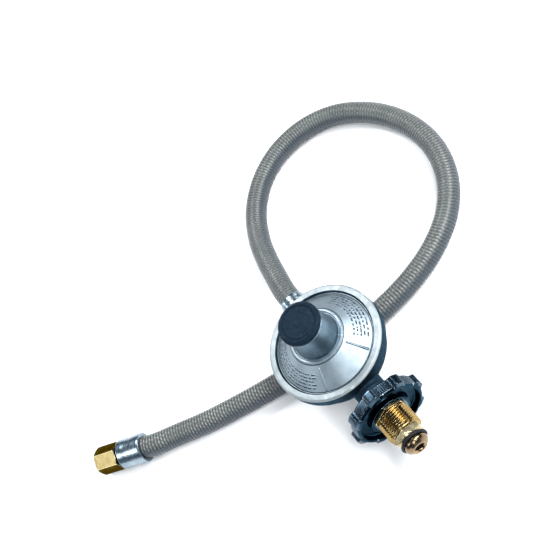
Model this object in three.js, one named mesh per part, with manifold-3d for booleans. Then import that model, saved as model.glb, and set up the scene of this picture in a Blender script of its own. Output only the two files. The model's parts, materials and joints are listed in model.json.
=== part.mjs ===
// Propane regulator with a POL inlet, a handwheel, and a hose that ends in a swivel flare nut.
// Millimetres, +Z up, +X out of the inlet. The floor is z = 0: the handwheel's lowest lobe and
// the hose lie on it, and the regulator's base rests on the hose that crosses under it.
import * as THREE from 'three';
import { mergeVertices } from 'three/addons/utils/BufferGeometryUtils.js';
import Module from 'manifold-3d';

const wasm = await Module();
wasm.setup();

// ---------------------------------------------------------------- driving dimensions
const GAP = 0.3; // clearance between neighbouring solids
const PORT_Z = 26.5; // height of the inlet and outlet axis, the handwheel's radius
const RING_Z = PORT_Z + 17.2; // top of the rolled rim
const RING_R = 39;
const RING_INNER_R = 33.5;
const RING_LIP = 1.4;
const RIM_DEPTH = 9.7;
const BOWL_R = 36;
const CAVITY_R = 32;
const BASE_WALL = 2.6;

const HOSE_R = 7.8;
const HOSE_BORE_R = 5.1;
const STEM_R = 4.8;
const STEM_BORE_R = 3.4;
const BASE_Z = 2 * HOSE_R + GAP; // underside of the body, on top of the hose

const CONE_TOP_Z = RING_Z + 10.3;
const CONE_TOP_R = 17.3;
const TOWER_BASE_R = 15;
const TOWER_TOP_R = 13.2;
const TOWER_TOP_Z = RING_Z + 30;
const TOWER_BORE_R = 11.5;
const VENT_R = 1.3; // breather hole through the cone
const VENT_X = -24;
const CAP_R = 14.25;
const CAP_HEAD = 3.6;
const CAP_PLUG_DEPTH = 6;
const GASKET = 0.8;

const WHEEL_BACK_X = 51;
const WHEEL_FRONT_X = 60.5;
const WHEEL_R = 26.5;
const WHEEL_VALLEY_R = 24.2;
const WHEEL_LOBES = 8;
const HUB_R = 14.2;
const HUB_LENGTH = 13; // how far the hub and the nut reach behind the thread
const NUT_DRIVE_AF = 21; // hexagon of the nut inside the handwheel
const THREAD_R = 11.175; // 0.880-14 NGO-LH, major diameter 22.35
const THREAD_DEPTH = 0.95;
const THREAD_X0 = 61;
const THREAD_X1 = 77;
const NUT_NECK_R = 9.6;
const SLOT_WIDTH = 2.2; // of the four vent slots along the thread
const INLET_BOSS_R = 10.5;
const INLET_BOSS_X = 45;
const OUTLET_BOSS_R = 8.6;
const OUTLET_BOSS_X = -38.6;
const SHANK_R = 6; // of the nipple and the orifice, inside the inlet boss
const SHANK_X = 31.5;
const NIPPLE_R = 7.6;
const NIPPLE_BORE_R = 3.2;
const NOSE_HEX_AF = 18;
const NOSE_HEX_X1 = 82.3;
const NOSE_X = 89.3;
const NOSE_TIP_R = 5.5;

const OUTLET_X = -50.6; // mouth of the outlet ferrule
const OUTLET_FERRULE_R = 9;
const OUTLET_FERRULE_X = -39;

const END_POINT = new THREE.Vector3(-63, -146, 10.5); // mouth of the end ferrule
const END_YAW = -119; // direction that the hose end points in, degrees from +X
const END_FERRULE_R = 10.5;
const END_FERRULE_LENGTH = 20;
const NUT_AF = 17.46; // 11/16 in
const NUT_CORNER = 35; // how the hexagon is turned at rest, degrees
const NUT_START = 20.8;
const NUT_END = 38;
const NUT_WALL = 4.3;
const NUT_SOCKET_R = 7.25; // 5/8-18 UNF, minor diameter

// internals
const STROKE = 3; // diaphragm travel, from fully open at rest to shut
const LEVER_PIVOT = [11.5, PORT_Z - 5]; // x, z
const LEVER_ARM = 11.5;
const LEVER_FINGER = 5;
const PIN_R = 1;
const LEVER_HALF_WIDTH = 2;
const LEVER_SLOT = LEVER_HALF_WIDTH + GAP;
const VALVE_STEM_R = 2.6;
const LEVER_TILT = Math.atan(STROKE / 2 / LEVER_ARM); // resting tilt, half the swing
const VALVE_TRAVEL = 2 * LEVER_FINGER * Math.sin(LEVER_TILT);
const CLAMP_Z = 37.9; // top of the diaphragm's clamped edge
const DIAPHRAGM_THICK = 1.2;
const DIAPHRAGM_DROP = 2.7; // how far its middle lies below the edge at rest
const DIAPHRAGM_R = 36.6;

// the tower's axis, placed so that the regulator's bounding box is centred on the origin
const TOWER_X = -(NOSE_X + OUTLET_X) / 2;

// The hose's route over the floor, relative to the tower's axis: out of the outlet, down to
// the floor, round one loop, under the regulator and out to the end fitting.
const HOSE_ROUTE = [
  [-50.6, 0, 26.5],
  [-61, 0.2, 26.1],
  [-75, 1.9, 23.8],
  [-98.5, 5, 17.7],
  [-120.8, 9.9, 11.5],
  [-143.7, 21.6, 8.4],
  [-159.8, 39.7, 7.8],
  [-167.8, 62.5, 7.8],
  [-166.4, 86.7, 7.8],
  [-155.7, 108.8, 7.8],
  [-137.3, 125.5, 7.8],
  [-115.3, 136.3, 7.8],
  [-91.2, 140.9, 7.8],
  [-66.8, 138.6, 7.8],
  [-44.3, 129, 7.8],
  [-26.3, 112.3, 7.8],
  [-15, 90.5, 7.8],
  [-9.6, 66.5, 7.8],
  [-8.7, 42, 7.8],
  [-10.7, 17.4, 7.8],
  [-14.6, -6.9, 7.8],
  [-20.4, -30.8, 7.8],
  [-27.2, -54.5, 7.8],
  [-34.9, -77.9, 7.8],
  [-43.4, -101, 7.8],
  [-52.9, -123.4, 8.7],
  [-58.6, -138, 10.1],
];

const COLOURS = {
  casting: ['#9dadb8', 0.45, 0.85],
  bright: ['#bfcad0', 0.3, 1],
  chrome: ['#34495a', 0.2, 1],
  brass: ['#c9a450', 0.28, 1],
  steel: ['#9aa0a6', 0.35, 1],
  black: ['#131a22', 0.5, 0],
  rubber: ['#1b1b1c', 0.8, 0],
  hose: ['#84857f', 0.6, 0],
};

// facets round a turned piece
const FINE = 36;
const MEDIUM = 22;
const COARSE = 14;

// ---------------------------------------------------------------- solids
const group = new THREE.Group();
const model = new THREE.Group();
model.position.x = TOWER_X;
group.add(model);

function signedVolume(position, triangles) {
  const [a, b, c] = [new THREE.Vector3(), new THREE.Vector3(), new THREE.Vector3()];
  let volume = 0;
  for (let i = 0; i < triangles.length; i += 3) {
    a.fromBufferAttribute(position, triangles[i]);
    b.fromBufferAttribute(position, triangles[i + 1]);
    c.fromBufferAttribute(position, triangles[i + 2]);
    volume += a.dot(b.cross(c)) / 6;
  }
  return volume;
}

// A closed geometry as a manifold solid: shared vertices merged, empty triangles dropped,
// faces pointing out.
function solid(geometry) {
  const bare = geometry.clone();
  bare.deleteAttribute('normal');
  bare.deleteAttribute('uv');
  const merged = mergeVertices(bare, 1e-4);
  const corners = merged.index.array;
  const triangles = [];
  for (let i = 0; i < corners.length; i += 3) {
    const [a, b, c] = corners.slice(i, i + 3);
    if (a !== b && b !== c && c !== a) triangles.push(a, b, c);
  }
  if (signedVolume(merged.attributes.position, triangles) < 0) triangles.reverse();
  return new wasm.Manifold(new wasm.Mesh({
    numProp: 3,
    vertProperties: merged.attributes.position.array,
    triVerts: new Uint32Array(triangles),
  }));
}

function piece(name, shape, look) {
  const mesh = shape.getMesh();
  const geometry = new THREE.BufferGeometry();
  geometry.setAttribute('position', new THREE.BufferAttribute(mesh.vertProperties, 3));
  geometry.setIndex(new THREE.BufferAttribute(mesh.triVerts, 1));
  const [color, roughness, metalness] = COLOURS[look];
  const material = new THREE.MeshStandardMaterial({ color, roughness, metalness });
  const node = new THREE.Mesh(geometry, material);
  node.name = name;
  model.add(node);
}

// A profile of [radius, height] pairs turned about +Z.
function turnedZ(profile, segments = FINE) {
  const points = profile.map(([r, z]) => new THREE.Vector2(r, z));
  return solid(new THREE.LatheGeometry(points, segments).rotateX(Math.PI / 2));
}

// A profile of [x, radius] pairs turned about the port axis, which runs along X.
function turnedX(profile, segments = MEDIUM, height = PORT_Z) {
  const points = profile.map(([x, r]) => new THREE.Vector2(r, x));
  const geometry = new THREE.LatheGeometry(points, segments).rotateZ(-Math.PI / 2);
  return solid(geometry.translate(0, 0, height));
}

function rodX(x0, x1, radius, segments = MEDIUM, height = PORT_Z) {
  return turnedX([[x0, 0], [x0, radius], [x1, radius], [x1, 0]], segments, height);
}

// A cylinder along Y, centred on y = 0.
function rodY(x, z, halfLength, radius) {
  const geometry = new THREE.CylinderGeometry(radius, radius, 2 * halfLength, COARSE);
  return solid(geometry.translate(x, 0, z));
}

function rodZ(z0, z1, radius, segments = COARSE) {
  return turnedZ([[0, z0], [radius, z0], [radius, z1], [0, z1]], segments);
}

function box(x0, x1, y0, y1, z0, z1) {
  const geometry = new THREE.BoxGeometry(x1 - x0, y1 - y0, z1 - z0);
  return solid(geometry.translate((x0 + x1) / 2, (y0 + y1) / 2, (z0 + z1) / 2));
}

// A prism along X from x0 to x1 whose section is a closed outline of [y, z] pairs about the
// port axis.
function prismX(outline, x0, x1, height = PORT_Z) {
  const shape = new THREE.Shape(outline.map(([y, z]) => new THREE.Vector2(y, z)));
  const geometry = new THREE.ExtrudeGeometry(shape, { depth: x1 - x0, bevelEnabled: false });
  geometry.rotateX(Math.PI / 2).rotateZ(Math.PI / 2).translate(x0, 0, height);
  return solid(geometry);
}

function prismZ(outline, z0, z1) {
  const shape = new THREE.Shape(outline.map(([x, y]) => new THREE.Vector2(x, y)));
  const geometry = new THREE.ExtrudeGeometry(shape, { depth: z1 - z0, bevelEnabled: false });
  return solid(geometry.translate(0, 0, z0));
}

function hexagon(acrossFlats, firstCorner = 90) {
  const radius = acrossFlats / Math.sqrt(3);
  return [0, 1, 2, 3, 4, 5].map((i) => {
    const angle = THREE.MathUtils.degToRad(firstCorner + 60 * i);
    return [radius * Math.cos(angle), radius * Math.sin(angle)];
  });
}

// A coil spring about +Z with flat-lying closed ends.
function spring(meanRadius, wire, z0, z1, turns) {
  const rise = z1 - z0 - wire;
  const ends = 0.12;
  class Helix extends THREE.Curve {
    getPoint(t, target = new THREE.Vector3()) {
      const angle = 2 * Math.PI * turns * t;
      const lift = THREE.MathUtils.clamp((t - ends) / (1 - 2 * ends), 0, 1);
      const x = meanRadius * Math.cos(angle);
      const y = meanRadius * Math.sin(angle);
      return target.set(x, y, z0 + wire / 2 + rise * lift + 0.45 * wire * Math.min(t, 1 - t));
    }
  }
  const section = new THREE.Shape(circle(wire / 2, 5));
  const steps = Math.round(turns * 10);
  const settings = { steps, bevelEnabled: false, extrudePath: new Helix() };
  return solid(new THREE.ExtrudeGeometry(section, settings));
}

function circle(radius, sides) {
  const points = [];
  for (let i = 0; i < sides; i += 1) {
    const angle = (2 * Math.PI * i) / sides;
    points.push(new THREE.Vector2(radius * Math.cos(angle), radius * Math.sin(angle)));
  }
  return points;
}

// ---------------------------------------------------------------- die-cast body
function regulatorBody() {
  const floorZ = BASE_Z + BASE_WALL;
  const rimZ = RING_Z - RIM_DEPTH;
  const ledgeZ = CLAMP_Z - DIAPHRAGM_THICK - GAP;
  const grooveR = DIAPHRAGM_R + GAP;
  const lipZ = RING_Z - RING_LIP;
  const outside = turnedZ([
    [0, BASE_Z], [22, BASE_Z], [24, BASE_Z + 1], [31.5, BASE_Z + 5], [35, BASE_Z + 9],
    [BOWL_R, BASE_Z + 12], [BOWL_R, rimZ], [RING_R, rimZ + 0.8], [RING_R, RING_Z - 1],
    [RING_R - 1, RING_Z], [0, RING_Z],
  ]);
  const inside = turnedZ([
    [0, floorZ], [23, floorZ], [29, floorZ + 3.5], [CAVITY_R, floorZ + 9], [CAVITY_R, ledgeZ],
    [grooveR, ledgeZ], [grooveR, lipZ], [RING_INNER_R, lipZ], [RING_INNER_R, RING_Z + 1],
    [0, RING_Z + 1],
  ]);
  const collar = rodX(INLET_BOSS_X - 3.5, INLET_BOSS_X, INLET_BOSS_R + 0.7);
  const inletBoss = rodX(20, INLET_BOSS_X, INLET_BOSS_R).add(collar);
  const outletBoss = rodX(OUTLET_BOSS_X, -20, OUTLET_BOSS_R);
  const valveBlock = box(6.6, CAVITY_R + 1, -8, 8, floorZ - 0.5, PORT_Z + 5.5);
  const solids = outside.add(inletBoss).add(outletBoss).subtract(inside).add(valveBlock);
  const [pivotX, pivotZ] = LEVER_PIVOT;
  const cuts = [
    rodX(12.9, INLET_BOSS_X + 1, SHANK_R + GAP), // seat chamber, orifice and nipple thread
    rodX(6, 13, VALVE_STEM_R + GAP), // guide of the valve stem
    rodX(-40, -26, STEM_R + GAP),
    box(5, 16.2, -LEVER_SLOT, LEVER_SLOT, floorZ, PORT_Z + 3.1),
    rodZ(floorZ - 1.4, floorZ + 1, 4.6), // room for the foot of the diaphragm's post
    rodY(pivotX, pivotZ, 7.3, PIN_R + GAP),
  ];
  return cuts.reduce((body, cut) => body.subtract(cut), solids);
}

// ---------------------------------------------------------------- bonnet and its cap
function bonnet() {
  const flangeTop = RING_Z - RING_LIP - GAP;
  const flangeZ = CLAMP_Z + GAP;
  const shell = turnedZ([
    [30.6, flangeZ], [DIAPHRAGM_R, flangeZ], [DIAPHRAGM_R, flangeTop],
    [RING_INNER_R - GAP, flangeTop], [RING_INNER_R - GAP, RING_Z - 1.6], [32, RING_Z - 0.9],
    [CONE_TOP_R + 1.2, CONE_TOP_Z - 0.7], [CONE_TOP_R, CONE_TOP_Z],
    [TOWER_BASE_R + 0.5, CONE_TOP_Z + 0.4], [TOWER_BASE_R, CONE_TOP_Z + 1.6],
    [TOWER_TOP_R, TOWER_TOP_Z], [TOWER_BORE_R, TOWER_TOP_Z], [TOWER_BORE_R, CONE_TOP_Z - 1.5],
    [CONE_TOP_R - 1.5, CONE_TOP_Z - 3], [30.6, RING_Z - 2.4], [30.6, flangeZ],
  ]);
  const vent = rodZ(RING_Z - 2, CONE_TOP_Z + 8, VENT_R, 8).translate(VENT_X, 0, 0);
  return shell.subtract(vent);
}

function capGasket() {
  const z0 = TOWER_TOP_Z + GAP;
  return turnedZ([
    [TOWER_BORE_R, z0], [TOWER_TOP_R, z0], [TOWER_TOP_R, z0 + GASKET],
    [TOWER_BORE_R, z0 + GASKET], [TOWER_BORE_R, z0],
  ], MEDIUM);
}

function ventCap() {
  const z0 = TOWER_TOP_Z + 2 * GAP + GASKET;
  const z1 = z0 + CAP_HEAD;
  const plugR = TOWER_BORE_R - GAP;
  return turnedZ([
    [0, z0], [8.5, z0], [8.5, TOWER_TOP_Z - CAP_PLUG_DEPTH], [plugR, TOWER_TOP_Z - CAP_PLUG_DEPTH],
    [plugR, z0], [CAP_R - 0.4, z0], [CAP_R, z0 + 0.5], [CAP_R, z1 - 1.1], [CAP_R - 1.3, z1],
    [0, z1],
  ], 28);
}

// ---------------------------------------------------------------- spring and adjuster
const PLATE_TOP_Z = CLAMP_Z - DIAPHRAGM_DROP + GAP + 1.2;
const SEAT_Z = 55.5;
const SEAT_THICK = 1.5;
const SCREW_LENGTH = 6;

function springSeat() {
  const top = SEAT_Z + SEAT_THICK;
  return turnedZ([
    [0, SEAT_Z], [5.8, SEAT_Z], [5.8, SEAT_Z - 1.5], [6.6, SEAT_Z - 1.5], [6.6, SEAT_Z],
    [10.6, SEAT_Z], [10.6, top], [0, top],
  ], MEDIUM);
}

function adjustingScrew() {
  const z0 = SEAT_Z + SEAT_THICK + GAP;
  const z1 = z0 + SCREW_LENGTH;
  const r = TOWER_BORE_R - GAP;
  const profile = [[0, z0], [r - 0.8, z0], [r, z0 + 0.8], [r, z1 - 0.8], [r - 0.8, z1], [0, z1]];
  const plug = turnedZ(profile, MEDIUM);
  return plug.subtract(box(-7, 7, -1.2, 1.2, z1 - 3, z1 + 1));
}

// ---------------------------------------------------------------- diaphragm group
function diaphragm() {
  const edge = CLAMP_Z - DIAPHRAGM_THICK;
  const middle = edge - DIAPHRAGM_DROP;
  const t = DIAPHRAGM_THICK;
  return turnedZ([
    [3.2, middle], [24, middle], [26, middle - 0.9], [28, middle - 0.5], [30.4, edge],
    [DIAPHRAGM_R, edge], [DIAPHRAGM_R, edge + t], [30.1, edge + t], [27.4, middle + t - 0.5],
    [25.9, middle + t - 0.9], [24.2, middle + t], [3.2, middle + t], [3.2, middle],
  ], 28);
}

function diaphragmPlate() {
  const z0 = CLAMP_Z - DIAPHRAGM_DROP + GAP;
  return turnedZ([
    [3.2, z0], [23, z0], [23, z0 + 2.2], [21.8, z0 + 2.2], [21.8, z0 + 1.2], [3.2, z0 + 1.2],
    [3.2, z0],
  ], MEDIUM);
}

const TIP_Z = LEVER_PIVOT[1] - STROKE / 2; // height of the lever's end at rest
const RETAINER_Z = 45.6;
const POST_R = 3.4;
const POST_THREAD_R = 1.9;

function diaphragmPost() {
  const foot = TIP_Z - 2.6;
  const flange = CLAMP_Z - DIAPHRAGM_THICK - DIAPHRAGM_DROP - GAP;
  const post = turnedZ([
    [0, foot], [POST_R, foot], [POST_R, flange - 1.6], [6, flange - 1.6], [6, flange],
    [POST_THREAD_R, flange], [POST_THREAD_R, RETAINER_Z + 3.4], [0, RETAINER_Z + 3.4],
  ], COARSE);
  return post.subtract(box(-5, 5, -LEVER_SLOT, LEVER_SLOT, TIP_Z - 1.6, TIP_Z + 1.6));
}

function reliefRetainer() {
  const hole = rodZ(RETAINER_Z - 1, RETAINER_Z + 5, POST_THREAD_R + GAP);
  return prismZ(hexagon(9, 0), RETAINER_Z, RETAINER_Z + 2.4).subtract(hole);
}

// ---------------------------------------------------------------- lever, valve and orifice
function lever() {
  const arm = 0.85;
  const tip = 1.2;
  const eye = 2.1;
  const outline = new THREE.Shape();
  outline.absarc(0, 0, eye, Math.PI * 0.64, Math.PI * 0.86, false);
  outline.lineTo(-LEVER_ARM + 1, arm);
  outline.absarc(-LEVER_ARM, 0, tip, Math.PI * 0.37, Math.PI * 1.63, false);
  outline.lineTo(-eye, -arm);
  outline.absarc(0, 0, eye, Math.PI * 1.14, Math.PI * 2.36, false);
  outline.lineTo(arm, LEVER_FINGER - 0.85);
  outline.absarc(0, LEVER_FINGER, tip, -Math.PI * 0.13, Math.PI * 1.13, false);
  outline.closePath();
  const settings = { depth: 2 * LEVER_HALF_WIDTH, bevelEnabled: false, curveSegments: 8 };
  const plate = new THREE.ExtrudeGeometry(outline, settings).translate(0, 0, -LEVER_HALF_WIDTH);
  plate.rotateX(Math.PI / 2).rotateY(-LEVER_TILT);
  plate.translate(LEVER_PIVOT[0], 0, LEVER_PIVOT[1]);
  return solid(plate).subtract(rodY(LEVER_PIVOT[0], LEVER_PIVOT[1], 4, PIN_R + GAP));
}

function leverPin() {
  return rodY(LEVER_PIVOT[0], LEVER_PIVOT[1], 7, PIN_R);
}

const SEAT_FACE_X = 17.1; // face of the valve's rubber disc at rest
const ORIFICE_BORE_R = 1.3;

function valveStem() {
  const back = SEAT_FACE_X - 1.7;
  const lip = SEAT_FACE_X - 0.3;
  const stem = turnedX([
    [8.2, 0], [8.2, VALVE_STEM_R], [back - 1.4, VALVE_STEM_R], [back - 1.4, 4.8], [lip, 4.8],
    [lip, 4], [back, 4], [back, 0],
  ], COARSE);
  const fingerX = LEVER_PIVOT[0] - VALVE_TRAVEL / 2;
  const slot = box(fingerX - 1.5, fingerX + 1.5, -LEVER_SLOT, LEVER_SLOT, PORT_Z - 4, PORT_Z + 1.6);
  return stem.subtract(slot);
}

function valveSeat() {
  return rodX(SEAT_FACE_X - 1.4, SEAT_FACE_X, 3.7, COARSE);
}

function orifice() {
  const nose = SEAT_FACE_X + VALVE_TRAVEL + GAP;
  return turnedX([
    [nose, ORIFICE_BORE_R], [nose, 1.8], [nose + 2, 2.6], [nose + 2, SHANK_R],
    [SHANK_X - 0.5, SHANK_R], [SHANK_X - 0.5, ORIFICE_BORE_R], [nose, ORIFICE_BORE_R],
  ], COARSE);
}

// ---------------------------------------------------------------- inlet fitting
function polNipple() {
  const shank = turnedX([
    [SHANK_X, NIPPLE_BORE_R], [SHANK_X, SHANK_R], [INLET_BOSS_X + 0.4, SHANK_R],
    [INLET_BOSS_X + 0.4, NIPPLE_R], [THREAD_X1 + 1.5, NIPPLE_R], [NOSE_HEX_X1, 7.4],
    [NOSE_HEX_X1 + 2.6, 7.4], [NOSE_HEX_X1 + 2.6, 8.1], [NOSE_X - 3, 7.9],
    [NOSE_X - 1.2, 6.9], [NOSE_X, NOSE_TIP_R], [NOSE_X, NIPPLE_BORE_R],
    [SHANK_X, NIPPLE_BORE_R],
  ]);
  const chamfered = turnedX([
    [THREAD_X1 + GAP, 0], [THREAD_X1 + GAP, 9.8], [THREAD_X1 + 0.9, 10.6],
    [NOSE_HEX_X1 - 1.4, 10.6], [NOSE_HEX_X1, 8.3], [NOSE_HEX_X1, 0],
  ]);
  const hex = prismX(hexagon(NOSE_HEX_AF), THREAD_X1, NOSE_HEX_X1 + 1).intersect(chamfered);
  return shank.add(hex).subtract(rodX(30, 90, NIPPLE_BORE_R));
}

function noseRing() {
  const middle = NOSE_HEX_X1 + 1.3;
  const cordR = 0.95;
  const section = circle(cordR, 6).map((p) => [middle + p.x, 7.7 + cordR + p.y]);
  return turnedX([...section, section[0]]);
}

// The nut's threaded sleeve at its major diameter, cut by four vent slots, and the hexagon
// that the handwheel is pressed on.
function polNut() {
  const root = THREAD_R - THREAD_DEPTH;
  const inner = NIPPLE_R + GAP;
  const neck = NUT_NECK_R;
  const back = THREAD_X0 - HUB_LENGTH;
  const sleeve = turnedX([
    [back, inner], [back, neck], [THREAD_X0 + 0.6, neck], [THREAD_X0 + 0.6, root],
    [THREAD_X0 + 1.4, THREAD_R], [THREAD_X1 - 1.2, THREAD_R], [THREAD_X1, root - 0.4],
    [THREAD_X1, inner], [back, inner],
  ]);
  const drive = prismX(hexagon(NUT_DRIVE_AF), WHEEL_BACK_X + 0.6, THREAD_X0 + 0.6);
  const nut = sleeve.add(drive.subtract(rodX(40, 80, inner)));
  const side = SLOT_WIDTH / 2;
  const slot = box(THREAD_X0 + 1.2, THREAD_X1 + 1, -side, side, root - 0.3, THREAD_R + 1);
  return [45, 135, 225, 315].reduce(
    (body, angle) => body.subtract(slot.rotate([angle, 0, 0]).translate(0, 0, PORT_Z)),
    nut,
  );
}

function wheelOutline() {
  const outline = [];
  const steps = WHEEL_LOBES * 8;
  for (let i = 0; i < steps; i += 1) {
    const angle = (2 * Math.PI * i) / steps;
    const lobe = Math.max(0, Math.cos(WHEEL_LOBES * angle)) ** 1.4;
    const radius = WHEEL_VALLEY_R + (WHEEL_R - WHEEL_VALLEY_R) * lobe;
    outline.push([radius * Math.cos(angle), radius * Math.sin(angle)]);
  }
  return outline;
}

function handwheel() {
  const rim = prismX(wheelOutline(), WHEEL_BACK_X, WHEEL_FRONT_X);
  const hub = rodX(THREAD_X0 - HUB_LENGTH - 0.4, WHEEL_FRONT_X + 0.2, HUB_R);
  const dish = turnedX([
    [WHEEL_FRONT_X - 5, HUB_R], [WHEEL_FRONT_X - 4.4, 20.8], [WHEEL_FRONT_X + 1, 22],
    [WHEEL_FRONT_X + 1, HUB_R], [WHEEL_FRONT_X - 5, HUB_R],
  ]);
  const back = turnedX([
    [WHEEL_BACK_X - 1, 15.5], [WHEEL_BACK_X - 1, 21.6], [WHEEL_BACK_X + 1.6, 20.8],
    [WHEEL_BACK_X + 1.6, 15.5], [WHEEL_BACK_X - 1, 15.5],
  ]);
  const drive = prismX(hexagon(NUT_DRIVE_AF + 2 * GAP), WHEEL_BACK_X, WHEEL_FRONT_X + 1);
  const passage = rodX(WHEEL_BACK_X - 6, WHEEL_FRONT_X + 3, NUT_NECK_R + GAP);
  return rim.add(hub).subtract(dish).subtract(back).subtract(drive).subtract(passage);
}

// ---------------------------------------------------------------- outlet
function barbs(from, to, radius, count) {
  const step = (to - from) / count;
  const profile = [];
  for (let i = 0; i < count; i += 1) {
    const x = from + step * i;
    profile.push([x, radius - 0.8], [x + step * 0.75, radius], [x + step * 0.8, radius - 0.8]);
  }
  return profile;
}

function outletStem() {
  const mouth = OUTLET_X + 1.5;
  return turnedX([
    [mouth, STEM_BORE_R], ...barbs(mouth, OUTLET_FERRULE_X - 1.5, STEM_R, 3),
    [OUTLET_FERRULE_X - 1.5, STEM_R], [-30, STEM_R], [-30, STEM_BORE_R], [mouth, STEM_BORE_R],
  ], COARSE);
}

function ferrule(length, radius, mouthLip) {
  const inner = HOSE_R + GAP;
  const wall = 1.3;
  return [
    [0, inner], [0, radius - 0.3], [mouthLip, radius], [length * 0.32, radius - 0.35],
    [length * 0.7, radius - 0.35], [length * 0.78, radius], [length - 1.6, radius],
    [length, radius - 1.6], [length, STEM_R + GAP], [length - wall, STEM_R + GAP],
    [length - wall, inner], [0, inner],
  ];
}

function outletFerrule() {
  const length = OUTLET_FERRULE_X - OUTLET_X;
  return turnedX(ferrule(length, OUTLET_FERRULE_R, 1).map(([x, r]) => [x + OUTLET_X, r]));
}

// ---------------------------------------------------------------- hose and its end fitting
function hosePath() {
  const points = HOSE_ROUTE.map(([x, y, z]) => new THREE.Vector3(x, y, z));
  points.push(END_POINT.clone());
  return new THREE.CatmullRomCurve3(points, false, 'centripetal');
}

const END_INSERT = END_FERRULE_LENGTH - 1.3 - GAP;
const BARB_END = END_INSERT - 1.3;
const OUTLET_INSERT = OUTLET_FERRULE_X - OUTLET_X - 1.3 - GAP;

// The hose, with its two straight ends inside the ferrules and a bore there for the stems.
function hose() {
  const section = new THREE.Shape(circle(HOSE_R, 10));
  const settings = { steps: 26, bevelEnabled: false, extrudePath: hosePath() };
  const free = solid(new THREE.ExtrudeGeometry(section, settings));
  const overlap = 0.4;
  const start = rodX(OUTLET_X - overlap, OUTLET_X + OUTLET_INSERT, HOSE_R, COARSE);
  const end = placedAtEnd(rodX(-overlap, END_INSERT, HOSE_R, COARSE, 0));
  const startBore = rodX(OUTLET_X - 1, 0, HOSE_BORE_R, COARSE);
  const endBore = placedAtEnd(rodX(-1, 30, HOSE_BORE_R, COARSE, 0));
  return free.add(start).add(end).subtract(startBore).subtract(endBore);
}

// A solid made along +X from the origin, moved to the hose's end.
function placedAtEnd(shape) {
  return shape.rotate([0, 0, END_YAW]).translate(END_POINT.x, END_POINT.y, END_POINT.z);
}

function endFerrule() {
  return placedAtEnd(turnedX(ferrule(END_FERRULE_LENGTH, END_FERRULE_R, 1.2), MEDIUM, 0));
}

const FLARE_X = NUT_START + NUT_WALL + GAP;

function endStem() {
  return placedAtEnd(turnedX([
    [3, STEM_BORE_R], ...barbs(3, BARB_END, STEM_R, 4), [BARB_END, STEM_R], [FLARE_X, STEM_R],
    [FLARE_X, NUT_SOCKET_R - GAP], [FLARE_X + 4, NUT_SOCKET_R - GAP],
    [FLARE_X + 1.2, STEM_BORE_R + 0.4], [FLARE_X, STEM_BORE_R], [3, STEM_BORE_R],
  ], COARSE, 0));
}

function flareNut() {
  const chamfer = turnedX([
    [NUT_START, 0], [NUT_START, 8.9], [NUT_START + 0.9, 10.2], [NUT_END - 0.9, 10.2],
    [NUT_END, 8.9], [NUT_END, 0],
  ], 24, 0);
  const body = prismX(hexagon(NUT_AF, NUT_CORNER), NUT_START, NUT_END, 0).intersect(chamfer);
  const socket = turnedX([
    [NUT_START - 1, 0], [NUT_START - 1, STEM_R + GAP], [NUT_START + NUT_WALL, STEM_R + GAP],
    [NUT_START + NUT_WALL, NUT_SOCKET_R], [NUT_END + 1, NUT_SOCKET_R], [NUT_END + 1, 0],
  ], COARSE, 0);
  return placedAtEnd(body.subtract(socket));
}

// ---------------------------------------------------------------- assembly
piece('regulator_body', regulatorBody(), 'casting');
piece('bonnet', bonnet(), 'casting');
piece('cap_gasket', capGasket(), 'rubber');
piece('vent_cap', ventCap(), 'black');
piece('spring_seat', springSeat(), 'steel');
piece('adjusting_screw', adjustingScrew(), 'brass');
piece('main_spring', spring(8.3, 2, PLATE_TOP_Z + GAP, SEAT_Z - GAP, 5.5), 'steel');
piece('diaphragm', diaphragm(), 'rubber');
piece('diaphragm_plate', diaphragmPlate(), 'steel');
piece('diaphragm_post', diaphragmPost(), 'brass');
piece('relief_spring', spring(3.3, 0.9, PLATE_TOP_Z + GAP, RETAINER_Z - GAP, 4), 'steel');
piece('relief_retainer', reliefRetainer(), 'steel');
piece('lever', lever(), 'steel');
piece('lever_pin', leverPin(), 'steel');
piece('valve_stem', valveStem(), 'brass');
piece('valve_seat', valveSeat(), 'rubber');
piece('orifice', orifice(), 'brass');
piece('pol_nipple', polNipple(), 'brass');
piece('nose_o_ring', noseRing(), 'rubber');
piece('pol_nut', polNut(), 'brass');
piece('handwheel', handwheel(), 'chrome');
piece('outlet_stem', outletStem(), 'brass');
piece('outlet_ferrule', outletFerrule(), 'bright');
piece('hose', hose(), 'hose');
piece('end_ferrule', endFerrule(), 'bright');
piece('end_stem', endStem(), 'brass');
piece('flare_nut', flareNut(), 'brass');

export default group;
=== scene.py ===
# Propane regulator hose: the visible pieces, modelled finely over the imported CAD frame.
# Lengths are millimetres in the tower frame, whose origin is on the floor under the tower and
# whose +X runs out of the inlet, until object_from turns them into metres in the row frame.
import json
import math

import bmesh
import bpy
import numpy as np
from mathutils import Matrix, Vector


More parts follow.
